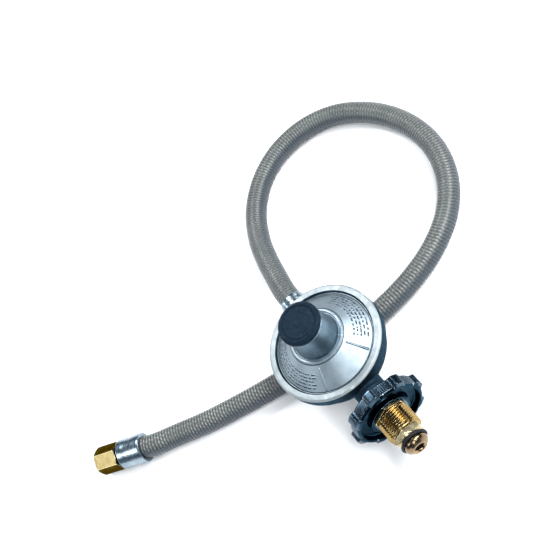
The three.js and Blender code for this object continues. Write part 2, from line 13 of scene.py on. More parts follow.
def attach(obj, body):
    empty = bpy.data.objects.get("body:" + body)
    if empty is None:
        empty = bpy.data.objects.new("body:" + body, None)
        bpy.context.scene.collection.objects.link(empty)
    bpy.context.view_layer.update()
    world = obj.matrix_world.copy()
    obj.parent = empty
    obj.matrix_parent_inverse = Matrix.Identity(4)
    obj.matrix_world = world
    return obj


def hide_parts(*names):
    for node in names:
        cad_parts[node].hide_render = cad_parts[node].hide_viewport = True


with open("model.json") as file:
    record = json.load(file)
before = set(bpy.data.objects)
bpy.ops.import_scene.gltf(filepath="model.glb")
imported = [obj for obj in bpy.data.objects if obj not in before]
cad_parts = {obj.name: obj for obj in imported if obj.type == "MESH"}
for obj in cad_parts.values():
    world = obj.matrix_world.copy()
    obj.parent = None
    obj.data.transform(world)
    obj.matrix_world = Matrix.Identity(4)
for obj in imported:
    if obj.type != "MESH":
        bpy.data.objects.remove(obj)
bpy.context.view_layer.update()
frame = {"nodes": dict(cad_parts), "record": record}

# ------------------------------------------------------------------ dimensions
MM = 0.001
INCH = 25.4
TURN = 2 * math.pi
TOWER_X = -19.35  # the tower's axis in the row frame
PORT_Z = 26.5  # height of the inlet and outlet axis

# body and bonnet
BASE_Z = 15.9
BODY_FLOOR_Z = 18.5
RING_Z = 43.7
RING_R = 39.0
GROOVE_R = 34.4  # outer edge of the groove between the rim and the cone
CONE_FOOT = (33.2, RING_Z - 1.6)  # radius, height
CONE_TOP = (18.5, RING_Z + 9.6)
CONE_SLOPE = math.atan2(CONE_TOP[1] - CONE_FOOT[1], CONE_FOOT[0] - CONE_TOP[0])
CONE_LENGTH = math.dist(CONE_FOOT, CONE_TOP)
CONE_RINGS = 84
BONNET_SIDES = 540
TOWER_TOP_Z = RING_Z + 30
TOWER_BORE_R = 11.5
TOWER_FOOT_R = 15.5
VENT_X = -24.0
VENT_R = 1.3

# marks on the cone: plain dashes, and two straight ridges up the slope
MARKED_ARCS = ((47, 128), (-150, -50))  # degrees
MARKED_ROWS = (3.2, 5.4, 7.6, 9.8, 12.0)  # distances up the slope
DASH_WIDTHS = (0.6, 1.2, 2.4)
DASH_GAPS = (0.9, 1.8)
DASH_DEPTH = 0.7  # across the row
DASH_HEIGHT = 0.3
RIDGES_AT = (34, -35)  # degrees
RIDGE_HEIGHT = 0.45

# cap
CAP_Z = TOWER_TOP_Z + 1.4  # underside of the cap's head
CAP_TOP_Z = CAP_Z + 3.6
CAP_R = 14.25
CAP_FLUTES = 36
SEAL_R = 13.3

# handwheel and inlet fitting
WHEEL_BACK_X = 51.0
WHEEL_FRONT_X = 60.5
WHEEL_VALLEY_R = 24.2
WHEEL_HEX_AF = 21.6
WHEEL_SIDES = 576
KNURLS = 112
LOBE_HEIGHT = 2.3
LOBES = 8
HUB_R = 14.2
HUB_BACK_X = 47.6
INLET_HEX_AF = 21.0
THREAD_X0 = 61.0
THREAD_X1 = 77.0
THREAD_R = 11.175
THREAD_DEPTH = 0.95
INLET_PITCH = INCH / 14
NECK_R = 9.6
NIPPLE_BORE_R = 3.2
NIPPLE_HEX_AF = 18.0
HEX_X0 = 77.3
HEX_X1 = 82.3
NOSE_X = 89.3

# hose and end fitting, whose own X starts at END_POINT
OUTLET_X = -50.6
OUTLET_FERRULE = (11.6, 9.0)  # length, radius
CRIMP = (0.3, 0.42, 0.62, 0.74)  # start, deepest from, deepest to, end, as parts of the length
CRIMP_DEPTH = 0.04
HOSE_R = 7.8
HOSE_SIDES = 64
STEM_R = 4.8
STEM_BORE_R = 3.4
END_POINT = (-63.0, -146.0, 10.5)
END_YAW = -119.0  # degrees
END_FERRULE = (20.0, 10.5)
NUT_AF = 17.46
NUT_FLAT = 5.0  # angle of a flat from the level, degrees
NUT_START = 20.8
NUT_END = 38.0
SOCKET_R = 7.25
FLARE_PITCH = INCH / 18
RIB_PITCH = 2.2
BRAID_ROWS = 16
UV_LENGTH = 100  # of hose, for one unit of its UV map
TAIL = (3.9, 4.7)  # where the look of the loop gives way to the tail's, in those units

HOSE_ROUTE = [
    (-50.6, 0, 26.5), (-61, 0.2, 26.1), (-75, 1.9, 23.8), (-98.5, 5, 17.7), (-120.8, 9.9, 11.5),
    (-143.7, 21.6, 8.4), (-159.8, 39.7, 7.8), (-167.8, 62.5, 7.8), (-166.4, 86.7, 7.8),
    (-155.7, 108.8, 7.8), (-137.3, 125.5, 7.8), (-115.3, 136.3, 7.8), (-91.2, 140.9, 7.8),
    (-66.8, 138.6, 7.8), (-44.3, 129, 7.8), (-26.3, 112.3, 7.8), (-15, 90.5, 7.8),
    (-9.6, 66.5, 7.8), (-8.7, 42, 7.8), (-10.7, 17.4, 7.8), (-14.6, -6.9, 7.8),
    (-20.4, -30.8, 7.8), (-27.2, -54.5, 7.8), (-34.9, -77.9, 7.8), (-43.4, -101, 7.8),
    (-52.9, -123.4, 8.7), (-58.6, -138.0, 10.1),
    END_POINT,
]

# ------------------------------------------------------------------ camera
camera = bpy.data.objects.new("camera", bpy.data.cameras.new("camera"))
bpy.context.scene.collection.objects.link(camera)
camera.data.sensor_width = 36
camera.data.lens = 73.21
camera.data.clip_end = 20
right, up, back = (0.5276, 0.7019, -0.4786), (-0.601, 0.7065, 0.3737), (0.6004, 0.0904, 0.7946)
camera.matrix_world = Matrix.Translation((0.35895, 0.0713, 0.6285)) @ Matrix(
    (right, up, back)
).transposed().to_4x4()
bpy.context.scene.camera = camera


# ------------------------------------------------------------------ shaders
class Shader:
    """A material with one Principled surface and short ways to drive it."""

    def __init__(self, name, color, metallic=0.0, roughness=0.5):
        self.material = bpy.data.materials.new(name)
        self.material.use_nodes = True
        self.nodes = self.material.node_tree.nodes
        self.links = self.material.node_tree.links
        self.surface = self.nodes["Principled BSDF"]
        self.put(self.surface, "Base Color", (*color, 1))
        self.put(self.surface, "Metallic", metallic)
        self.put(self.surface, "Roughness", roughness)
        self.place = self.nodes.new("ShaderNodeTexCoord").outputs["Object"]

    def put(self, node, name, value):
        if isinstance(value, bpy.types.NodeSocket):
            self.links.new(value, node.inputs[name])
        else:
            node.inputs[name].default_value = value

    def add(self, kind, output, settings=(), **inputs):
        """A node's output. An input is named in words, or by number as in _1."""
        node = self.nodes.new(kind)
        for name, value in settings:
            setattr(node, name, value)
        for name, value in inputs.items():
            key = int(name[1:]) if name[0] == "_" else name.replace("_", " ")
            self.put(node, key, value)
        return node.outputs[output]

    def noise(self, scale, detail=3.0, stretch=None, roughness=0.55):
        place = self.place
        if stretch:
            place = self.add("ShaderNodeMapping", "Vector", Vector=place, Scale=stretch)
        return self.add(
            "ShaderNodeTexNoise", 0, Vector=place, Scale=scale, Detail=detail, Roughness=roughness
        )

    def ramp(self, value, low, high, start=0.0, end=1.0):
        return self.add(
            "ShaderNodeMapRange", 0, [("interpolation_type", "SMOOTHSTEP")],
            Value=value, _1=low, _2=high, _3=start, _4=end,
        )

    def mix(self, factor, a, b):
        node = self.nodes.new("ShaderNodeMix")
        node.data_type = "RGBA"
        self.put(node, 0, factor)
        for key, value in ((6, a), (7, b)):
            self.put(node, key, value if isinstance(value, bpy.types.NodeSocket) else (*value, 1))
        return node.outputs[2]

    def math(self, operation, a, b=0.0):
        return self.add("ShaderNodeMath", 0, [("operation", operation)], _0=a, _1=b)

    def edges(self, low, high):
        """Where edges are painted lighter, as wear and as painted glints: 0 on a flat face to 1
        on a sharp edge.
        """
        return self.ramp(self.add("ShaderNodeNewGeometry", "Pointiness"), low, high)

    def hollows(self):
        """Where hollows are painted dark, as dirt and as painted shade: 0 on open metal to 1 in a
        tight corner.
        """
        return self.math("SUBTRACT", 1.0, self.edges(0.43, 0.47))

    def color(self, value):
        self.put(self.surface, "Base Color", value)

    def rough(self, value):
        self.put(self.surface, "Roughness", value)

    def bump(self, *layers):
        """layers are (height, strength, distance in millimetres), the first one lowest."""
        normal = None
        for height, strength, distance in layers:
            node = self.nodes.new("ShaderNodeBump")
            self.put(node, "Height", height)
            node.inputs["Strength"].default_value = strength
            node.inputs["Distance"].default_value = distance * MM
            if normal:
                self.put(node, "Normal", normal)
            normal = node.outputs[0]
        self.put(self.surface, "Normal", normal)


def casting(name, light, dark, rough, grain=0.5, glance=(1, 1, 1), wear=1.5):
    """Die-cast metal. glance tints its reflections at shallow angles, and wear is how much
    lighter its edges are, painted as wear and as glints. Its hollows are painted dark, as dirt
    and as painted shade, and it is also painted dark, as painted shade, wherever the mesh's shade
    attribute is above 0."""
    # the colour of dirt and painted shade, for hollows and wherever the mesh's shade attribute is
    # set
    grime_and_shade = (0.02, 0.035, 0.05)
    s = Shader(name, light, 0.95)
    s.put(s.surface, "Specular Tint", (*glance, 1))
    shade_attribute = s.add("ShaderNodeAttribute", "Fac", [("attribute_name", "grime_and_shade")])
    clouds = s.noise(90, 5, roughness=0.65)
    patchy = s.mix(s.ramp(clouds, 0.35, 0.68), light, dark)
    # edges painted lighter, as wear and as painted glints
    worn_and_glint = [min(1, c * wear) for c in light]
    clean = s.mix(s.edges(0.53, 0.6), patchy, worn_and_glint)
    s.color(s.mix(s.math("MAXIMUM", s.hollows(), shade_attribute), clean, grime_and_shade))
    s.rough(s.ramp(s.noise(260, 5), 0.3, 0.7, *rough))
    s.bump((s.noise(420, 2), 0.25 * grain, 0.2), (s.noise(2300, 3), 0.5 * grain, 0.06))
    return s.material


def bright_metal(name, light, dark, rough, waviness=0.3, turned=None, grime_and_shade=None, worn_and_glint=None,
                 glance=(1, 1, 1)):
    """Plated or machined metal. turned stretches fine marks as a lathe leaves them. Its edges
    take the worn colour, painted lighter as wear and as glints, and its hollows the grime colour,
    painted dark as dirt and as painted shade."""
    s = Shader(name, light, 1.0)
    s.put(s.surface, "Specular Tint", (*glance, 1))
    patchy = s.mix(s.ramp(s.noise(140, 4), 0.3, 0.7), light, dark)
    worn_and_glint = worn_and_glint or [min(1, c * 1.35) for c in light]
    grime_and_shade = grime_and_shade or [c * 0.25 for c in dark]
    s.color(s.mix(s.hollows(), s.mix(s.edges(0.52, 0.6), patchy, worn_and_glint), grime_and_shade))
    s.rough(s.ramp(s.noise(500, 4), 0.3, 0.75, *rough))
    layers = [(s.noise(60, 1), waviness, 0.2)]
    if turned:
        layers.append((s.noise(900, 2, stretch=turned), 0.2, 0.03))
    layers.append((s.noise(3500, 2), 0.1, 0.02))
    s.bump(*layers)
    return s.material


def black_rubber(name):
    s = Shader(name, (0.008, 0.009, 0.011))
    s.color(s.mix(s.noise(600), (0.005, 0.006, 0.008), (0.014, 0.015, 0.017)))
    s.rough(s.ramp(s.noise(900), 0.3, 0.7, 0.35, 0.6))
    s.put(s.surface, "Specular IOR Level", 0.12)
    s.bump((s.noise(1800), 0.2, 0.05))
    return s.material


def cap_plastic():
    """Black moulded plastic with a little dust."""
    s = Shader("cap_plastic", (0.012, 0.016, 0.022))
    dust = s.ramp(s.noise(380, 6, roughness=0.7), 0.52, 0.74)
    s.color(s.mix(dust, (0.0055, 0.0115, 0.020), (0.014, 0.026, 0.038)))
    s.rough(s.ramp(s.noise(700, 4), 0.3, 0.7, 0.3, 0.48))
    s.put(s.surface, "Specular IOR Level", 0.035)
    s.put(s.surface, "Specular Tint", (0.45, 0.75, 1.0, 1))
    s.bump((s.noise(1500, 3), 0.35, 0.06))
    return s.material


def hose_rubber():
    """Ribbed grey cover, painted dark between the ribs as painted shade, with pale dashes painted
    on the rib crests along the braid rows as painted glints. Both are stronger along the tail. It
    is painted darker and bluer away from its top, as painted shade."""
    s = Shader("hose_cover", (0.14, 0.14, 0.13))
    uv = s.add("ShaderNodeUVMap", 0, [("uv_map", "along_around")])
    split = s.nodes.new("ShaderNodeSeparateXYZ")
    s.put(split, 0, uv)
    along, around = split.outputs[0], split.outputs[1]

    def wave(turns_along, turns_around):
        return s.math("COSINE", s.math(
            "ADD",
            s.math("MULTIPLY", along, TURN * turns_along),
            s.math("MULTIPLY", around, TURN * turns_around),
        ))

    ribs_per_unit = UV_LENGTH / RIB_PITCH
    ribs = wave(ribs_per_unit, 0)
    rows = wave(ribs_per_unit / 2, BRAID_ROWS)
    # painted shade between the ribs, and painted glints: pale dashes on the rib crests along the
    # braid rows
    rib_shade = s.ramp(ribs, 0.1, -0.9)
    crest_glints = s.math("MULTIPLY", s.ramp(ribs, 0.1, 0.8), s.ramp(rows, -0.9, 0.0))
    patchy = s.ramp(s.noise(55, 4, roughness=0.7), 0.38, 0.62, 0.35, 1.0)
    cover = s.mix(s.ramp(s.noise(90, 5), 0.3, 0.7), (0.068, 0.076, 0.074), (0.092, 0.102, 0.099))
    tail = s.ramp(along, *TAIL)
    rib_shade_amount = s.math("MULTIPLY", rib_shade, s.ramp(tail, 0, 1, 0.55, 0.9))
    cover = s.mix(rib_shade_amount, cover, (0.032, 0.038, 0.044))
    crest_glints = s.math("MULTIPLY", crest_glints, s.ramp(tail, 0, 1, 0.3, 0.85))
    cover = s.mix(s.math("MULTIPLY", crest_glints, patchy), cover, (0.36, 0.36, 0.335))
    specks = s.ramp(s.noise(1500, 2), 0.55, 0.72, 0.0, 0.3)
    cover = s.mix(specks, cover, (0.24, 0.24, 0.225))
    seam = s.math("ABSOLUTE", s.math("SUBTRACT", around, 0.34))
    cover = s.mix(s.ramp(seam, 0.004, 0.010, 0.12, 0.0), cover, (0.04, 0.045, 0.05))
    cover = s.mix(s.ramp(tail, 0, 1, 0.2, 0.3), cover, (0.040, 0.044, 0.042))
    # painted shade: the cover is darker and bluer away from its top, on its sides and lower half
    from_top = s.math("MULTIPLY", s.math("SUBTRACT", around, 0.25), TURN)
    lower_side_shade = s.ramp(s.math("COSINE", from_top), 0.95, 0.35, 0.0, 0.75)
    s.color(s.mix(lower_side_shade, cover, (0.022, 0.034, 0.048)))
    s.rough(s.ramp(s.noise(700, 3), 0.3, 0.7, 0.24, 0.36))
    s.put(s.surface, "Specular IOR Level", 0.27)
    s.bump((s.noise(2600, 3), 0.3, 0.06))
    return s.material


# painted shade: the body's casting is painted very dark, as the dark reflections on its walls
CASTING_SHADED = casting("casting", (0.018, 0.037, 0.056), (0.011, 0.025, 0.040), (0.5, 0.64),
                  glance=(0.55, 0.68, 0.78))
BONNET = casting("bonnet_casting", (0.27, 0.325, 0.36), (0.215, 0.27, 0.31), (0.42, 0.54), 0.6)
# painted shade: a darker copy of the bonnet's casting for the tower
TOWER_SHADED = casting("tower_casting_shaded", (0.125, 0.18, 0.222), (0.085, 0.135, 0.18), (0.32, 0.44), 0.6,
                wear=1.0)
# painted light: a lighter copy of the casting for the top of the rim, painted as lit
RIM_LIT = casting("rolled_rim_lit", (0.33, 0.37, 0.385), (0.27, 0.31, 0.325), (0.5, 0.62), 0.3)
# painted reflection: the handwheel's plating is painted dark for the dark reflections in it, with
# painted glints on its edges; its rim's outer wall takes a lighter copy, painted as lit
WHEEL_SHADED = bright_metal("wheel_plating_shaded", (0.012, 0.030, 0.046), (0.006, 0.016, 0.027), (0.14, 0.24),
                     0.25, worn_and_glint=(0.35, 0.42, 0.47), glance=(0.6, 0.72, 0.8))
WHEEL_RIM_LIT = bright_metal("wheel_rim_lit_plating", (0.052, 0.082, 0.108), (0.020, 0.038, 0.058),
                          (0.14, 0.24), 0.3, worn_and_glint=(0.6, 0.66, 0.7))
FERRULE = bright_metal("ferrule_plating", (0.27, 0.33, 0.375), (0.18, 0.24, 0.285), (0.24, 0.34),
                       0.0)
LATHE = (8, 0.3, 0.3)
BRASS = bright_metal("brass", (0.30, 0.215, 0.085), (0.17, 0.10, 0.035), (0.16, 0.26), 0.0,
                     LATHE, (0.03, 0.012, 0.004), (0.85, 0.72, 0.42), (0.9, 0.8, 0.6))
# painted light and shade: a lighter copy of the brass for the nipple's hex, painted as lit, and a
# darker one for its nose, painted as shade
HEX_BRASS_LIT = bright_metal("hex_brass_lit", (0.46, 0.39, 0.24), (0.34, 0.28, 0.165), (0.2, 0.3), 0.0,
                         None, (0.03, 0.012, 0.004), (0.75, 0.68, 0.48))
# painted shade: a much darker copy of the brass for the swivel nut
NUT_BRASS_SHADED = bright_metal("nut_brass_shaded", (0.095, 0.078, 0.037), (0.058, 0.044, 0.020), (0.16, 0.24),
                         0.0, LATHE, (0.02, 0.014, 0.008), (0.5, 0.45, 0.28), (0.38, 0.35, 0.32))
NOSE_BRASS_SHADED = bright_metal("nose_brass_shaded", (0.28, 0.20, 0.11), (0.14, 0.095, 0.055), (0.16, 0.28),
                          0.05, LATHE, (0.02, 0.011, 0.005))
STEEL = bright_metal("plated_steel", (0.56, 0.58, 0.60), (0.46, 0.48, 0.50), (0.28, 0.42))
SPRING = bright_metal("spring_steel", (0.46, 0.48, 0.50), (0.36, 0.38, 0.40), (0.25, 0.4))
CAP = cap_plastic()
RUBBER = black_rubber("seal_rubber")
HOSE = hose_rubber()

CAD_FINISH = {  # by the record's material slot
    "plated_steel": STEEL,
    "spring_steel": SPRING,
    "brass": BRASS,
    "seal_rubber": RUBBER,
    "casting": CASTING_SHADED,
    "black_plastic": CAP,
    "handwheel_metal": WHEEL_SHADED,
    "bright_ferrule": FERRULE,
    "hose_cover": HOSE,
}
for part in frame["record"]["subparts"]:
    node = frame["nodes"][part["node"]]
    node.data.materials.clear()
    node.data.materials.append(CAD_FINISH[part["material_slot"]])


# ------------------------------------------------------------------ mesh building
def on_port(points):
    """Places a piece turned about X on the axis of the inlet and the outlet."""
    return points + np.array((0, 0, PORT_Z))


def on_tower(points):
    """Stands a piece turned about X upright on the tower's axis."""
    return np.roll(points, -1, axis=-1)


def on_end(points):
    """Places a piece turned about X on the axis of the hose's end, from END_POINT."""
    yaw = math.radians(END_YAW)
    turn = np.array(
        ((math.cos(yaw), -math.sin(yaw), 0), (math.sin(yaw), math.cos(yaw), 0), (0, 0, 1))
    )
    return points @ turn.T + np.array(END_POINT)


def rounded(profile, closed=True, steps=5):
    """A profile of (along, radius) points, where a third number rounds that corner."""
    count = len(profile)
    out = []
    for i, point in enumerate(profile):
        corner = Vector(point[:2])
        if len(point) < 3 or (not closed and i in (0, count - 1)):
            out.append(tuple(corner))
            continue
        before = Vector(profile[i - 1][:2]) - corner
        after = Vector(profile[(i + 1) % count][:2]) - corner
        half = before.angle(after) / 2
        reach = min(point[2] / math.tan(half), 0.48 * before.length, 0.48 * after.length)
        start, end = corner + before.normalized() * reach, corner + after.normalized() * reach
        for k in range(steps + 1):
            u = k / steps
            p = start * (1 - u) ** 2 + corner * 2 * u * (1 - u) + end * u**2
            out.append(tuple(p))
    return out


def angles(sides):
    return np.arange(sides) * TURN / sides


def rings_of(profile, sides, shape=None):
    """Rings about the local +X axis. shape(along, radius, angle) may change the radius."""
    angle = angles(sides)
    along = np.array([p[0] for p in profile])[:, None] + 0 * angle[None]
    radius = np.array([p[1] for p in profile])[:, None] + 0 * angle[None]
    if shape:
        radius = shape(along, radius, angle[None] + 0 * along)
    return np.stack((along, radius * np.cos(angle), radius * np.sin(angle)), axis=-1)


def object_from(name, points, faces, materials=()):
    mesh = bpy.data.meshes.new(name)
    row = (np.asarray(points).reshape(-1, 3) + np.array((TOWER_X, 0, 0))) * MM
    mesh.from_pydata(row.tolist(), [], faces)
    bm = bmesh.new()
    bm.from_mesh(mesh)
    bmesh.ops.recalc_face_normals(bm, faces=bm.faces)
    bm.to_mesh(mesh)
    bm.free()
    for m in materials:
        mesh.materials.append(m)
    obj = bpy.data.objects.new(name, mesh)
    bpy.context.scene.collection.objects.link(obj)
    return obj


def skin(name, rings, closed, materials=()):
    """Rings of points joined by quads. An open run of rings is capped at both ends."""
    count, sides = rings.shape[:2]
    faces = []
    for i in range(count if closed else count - 1):
        a, b = i * sides, (i + 1) % count * sides
        faces += [(a + j, a + (j + 1) % sides, b + (j + 1) % sides, b + j) for j in range(sides)]
    if not closed:
        faces.append(tuple(range(sides)))
        faces.append(tuple(range((count - 1) * sides, count * sides)))
    return object_from(name, rings, faces, materials)


def turned(name, profile, place, sides=128, closed=True, materials=()):
    """A lathe-turned piece. place is on_port, on_tower or on_end."""
    return skin(name, place(rings_of(rounded(profile, closed), sides)), closed, materials)


def rod(x0, x1, radius, place=on_port, sides=64, fillet=0.0):
    """A tool for combine, from x0 to x1 on its axis."""
    profile = [(x0, 0.01), (x0, radius, fillet), (x1, radius, fillet), (x1, 0.01)]
    if not fillet:
        profile = [p[:2] for p in profile]
    return turned("tool", profile, place, sides, closed=False)


def block(x0, x1, y0, y1, z0, z1):
    """A tool for combine."""
    corners = [(x, y, z) for x in (x0, x1) for y in (y0, y1) for z in (z0, z1)]
    faces = [(0, 1, 3, 2), (4, 5, 7, 6), (0, 1, 5, 4), (2, 3, 7, 6), (0, 2, 6, 4), (1, 3, 7, 5)]
    return object_from("tool", corners, faces)


def combine(obj, tools, operation):
    """Adds the tools to a mesh or cuts them out of it, and deletes them."""
    for tool in tools:
        modifier = obj.modifiers.new("combine", "BOOLEAN")
        modifier.operation = operation
        modifier.solver = "EXACT"
        modifier.object = tool
    graph = bpy.context.evaluated_depsgraph_get()
    mesh = bpy.data.meshes.new_from_object(obj.evaluated_get(graph))
    obj.modifiers.clear()
    old, obj.data = obj.data, mesh
    bpy.data.meshes.remove(old)
    for tool in tools:
        data = tool.data
        bpy.data.objects.remove(tool)
        bpy.data.meshes.remove(data)


def finish_piece(obj, body, nodes, sharp=32):
    obj.data.shade_smooth()
    obj.data.set_sharp_from_angle(angle=math.radians(sharp))
    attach(obj, body)
    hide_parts(*nodes)
    return obj


def hexagon(across_flats, first_flat=0.0):
    """The radius of a hexagon's outline at an angle. first_flat is in degrees."""

    def radius(angle):
        sixth = TURN / 6
        off = (angle - math.radians(first_flat) + sixth / 2) % sixth - sixth / 2
        return across_flats / 2 / np.cos(off)

    return radius


def smooth_step(value, low, high):
    t = np.clip((value - low) / (high - low), 0, 1)
    return t * t * (3 - 2 * t)


# ------------------------------------------------------------------ hose
def catmull_rom(points):
    """The centripetal curve through the points, as the CAD's tube follows it."""
    per_span = 24
    p = [Vector(q) for q in points]
    p = [2 * p[0] - p[1], *p, 2 * p[-1] - p[-2]]
    out = []
    for i in range(1, len(p) - 2):
        a, b, c, d = p[i - 1 : i + 3]
        t0 = 0.0
        t1 = (b - a).length ** 0.5
        t2 = t1 + (c - b).length ** 0.5
        t3 = t2 + (d - c).length ** 0.5
        for k in range(per_span):
            t = t1 + (t2 - t1) * k / per_span
            ab = a * ((t1 - t) / (t1 - t0)) + b * ((t - t0) / (t1 - t0))
            bc = b * ((t2 - t) / (t2 - t1)) + c * ((t - t1) / (t2 - t1))
            cd = c * ((t3 - t) / (t3 - t2)) + d * ((t - t2) / (t3 - t2))
            abc = ab * ((t2 - t) / (t2 - t0)) + bc * ((t - t0) / (t2 - t0))
            bcd = bc * ((t3 - t) / (t3 - t1)) + cd * ((t - t1) / (t3 - t1))
            out.append(abc * ((t2 - t) / (t2 - t1)) + bcd * ((t - t1) / (t2 - t1)))
    out.append(p[-2])
    return out


def hose_line():
    """The hose's centreline from inside one ferrule to inside the other."""
    inside_outlet, inside_end = 10, 18
    start = [Vector((OUTLET_X + inside_outlet - k, 0, PORT_Z)) for k in range(inside_outlet)]
    yaw = math.radians(END_YAW)
    ahead = Vector((math.cos(yaw), math.sin(yaw), 0))
    end = [Vector(END_POINT) + ahead * k for k in range(1, inside_end + 1)]
    return np.array([tuple(v) for v in start + catmull_rom(HOSE_ROUTE) + end])


def evenly(points, step):
    """Distances along the points about a step apart, and the line's points there."""
    lengths = np.concatenate(([0], np.cumsum(np.linalg.norm(np.diff(points, axis=0), axis=1))))
    count = int(lengths[-1] / step)
    where = np.linspace(0, lengths[-1], count + 1)
    return where, np.stack([np.interp(where, lengths, points[:, k]) for k in range(3)], axis=1)


def smoothed(points):
    out = points.copy()
    for _ in range(12):
        out[1:-1] = out[1:-1] * 0.5 + (out[:-2] + out[2:]) * 0.25
    return out


def hose_piece():
    where, line = evenly(hose_line(), RIB_PITCH / 5)
    line = smoothed(line)
    along = np.gradient(line, axis=0)
    along /= np.linalg.norm(along, axis=1)[:, None]
    side = np.cross(along, (0, 0, 1))
    side /= np.linalg.norm(side, axis=1)[:, None]
    upward = np.cross(side, along)
    angle = angles(HOSE_SIDES)
    rib_height, thread_height = 0.15, 0.02
    phase = TURN * where[:, None] / RIB_PITCH
    ribs = np.cos(phase) + 0 * angle[None]
    threads = np.cos(phase) * np.cos(BRAID_ROWS * angle[None])
    radius = HOSE_R - rib_height - thread_height + rib_height * ribs + thread_height * threads
    radius[-1] = radius[0] = HOSE_R - 2  # the ends are chamfered, inside the ferrules
    outward = (np.cos(angle)[None, :, None] * side[:, None]
               + np.sin(angle)[None, :, None] * upward[:, None])
    rings = line[:, None] + radius[..., None] * outward
    hose = skin("hose_cover", rings, False, (HOSE,))
    uv = hose.data.uv_layers.new(name="along_around")
    corners = np.empty(len(hose.data.loops), dtype=np.int64)
    hose.data.loops.foreach_get("vertex_index", corners)
    values = np.stack(
        (where[corners // HOSE_SIDES] / UV_LENGTH, (corners % HOSE_SIDES) / HOSE_SIDES), axis=1
    )
    uv.data.foreach_set("uv", values.astype(np.float32).ravel())
    finish_piece(hose, "regulator", ["hose"], sharp=60)
    path = (line[::6] + np.array((TOWER_X, 0, 0))) * MM
    return hose, path.tolist()


hose, hose_path = hose_piece()


# ------------------------------------------------------------------ ferrules and end fitting
def refine(profile, closed=True, step=0.7):
    """More points along the long straight runs, so that a shape function can bend them."""
    out = []
    for a, b in zip(profile, profile[1:] + (profile[:1] if closed else [])):
        count = max(1, int(math.dist(a, b) / step))
        out += [(a[0] + (b[0] - a[0]) * k / count, a[1] + (b[1] - a[1]) * k / count)
                for k in range(count)]
    return out if closed else out + [profile[-1]]


def ferrule_piece(name, node, size, lip, start, place):
    """A ferrule with eight soft flats crimped into its middle."""
    length, radius = size
    inner = HOSE_R + 0.15
    press, deep, release, clear = (part * length for part in CRIMP)
    profile = [
        (0, inner, 0.2), (0, radius - 0.2, 0.3), (lip, radius, 0.4), (press, radius - 0.05, 1.5),
        (deep, radius - 0.2, 1.5), (release, radius - 0.2, 1.5), (clear, radius - 0.05, 1.5),
        (length - 1.5, radius, 1.2), (length, radius - 2.2, 0.5), (length, STEM_R + 0.3, 0.2),
        (length - 1.3, STEM_R + 0.3), (length - 1.3, inner),
    ]

    def crimped(along, radius, angle):
        middle = smooth_step(along, press, deep) * (1 - smooth_step(along, release, clear))
        outside = radius > HOSE_R + 0.4
        return radius - outside * middle * CRIMP_DEPTH * (0.5 + 0.5 * np.cos(8 * angle))

    rings = rings_of(refine(rounded(profile)), 128, crimped)
    rings[..., 0] += start
    ferrule = skin(name, place(rings), True, (FERRULE,))
    return finish_piece(ferrule, "regulator", [node])


end_ferrule = ferrule_piece("crimped_ferrule", "end_ferrule", END_FERRULE, 1.2, 0, on_end)
ferrule_piece("outlet_collar", "outlet_ferrule", OUTLET_FERRULE, 1.0, OUTLET_X, on_port)

flare_x = NUT_START + 4.6
end_stem = turned(
    "flare_tail",
    [
        (3, STEM_BORE_R), (3, STEM_R - 0.6), (17.1, STEM_R, 0.2), (flare_x, STEM_R, 0.3),
        (flare_x, SOCKET_R - 0.3, 0.3), (flare_x + 4, SOCKET_R - 0.3, 0.25),
        (flare_x + 1.2, STEM_BORE_R + 0.4, 0.4), (flare_x, STEM_BORE_R, 0.2),
    ],
    on_end, 96, materials=(BRASS,),
)
finish_piece(end_stem, "regulator", ["end_stem"])


def flare_nut():
    outline = hexagon(NUT_AF, NUT_FLAT)
    x0, x1 = NUT_START, NUT_END
    steps = [x0, x0 + 0.15, x0 + 0.35, x0 + 0.6, x0 + 0.9, x0 + 1.3, x0 + 2]
    steps += [x1 - 2, x1 - 1.3, x1 - 0.9, x1 - 0.6, x1 - 0.35, x1 - 0.15, x1]
    profile = [(x, 12) for x in steps]
    mouth = [(x1, SOCKET_R + 0.9), (x1 - 0.9, SOCKET_R + 0.35)]
    thread = [(x, SOCKET_R + 0.3) for x in np.arange(x1 - 1.0, x0 + 4.6, -FLARE_PITCH / 6)]
    rear = [(x0 + 4.3, SOCKET_R), (x0 + 4.3, STEM_R + 0.3), (x0 + 0.3, STEM_R + 0.3),
            (x0, STEM_R + 0.6)]

    def shape(along, radius, angle):
        end = np.minimum(along - x0, x1 - along)
        chamfer = 8.85 + 1.5 * np.clip(end, 0, 2)
        outside = np.minimum(outline(angle), chamfer)
        turn = along / FLARE_PITCH - angle / TURN
        inside = SOCKET_R + 0.35 * (1 - np.abs(2 * (turn % 1) - 1))
        threaded = (radius > SOCKET_R + 0.25) & (radius < SOCKET_R + 0.32)
        return np.where(radius > 11, outside, np.where(threaded, inside, radius))

    rings = rings_of(profile + mouth + thread + rear, 144, shape)
    # the swivel nut takes the much darker copy of the brass, painted as shade
    return skin("swivel_nut", on_end(rings), True, (NUT_BRASS_SHADED,))


end_nut = finish_piece(flare_nut(), "end_nut", ["flare_nut"], sharp=24)

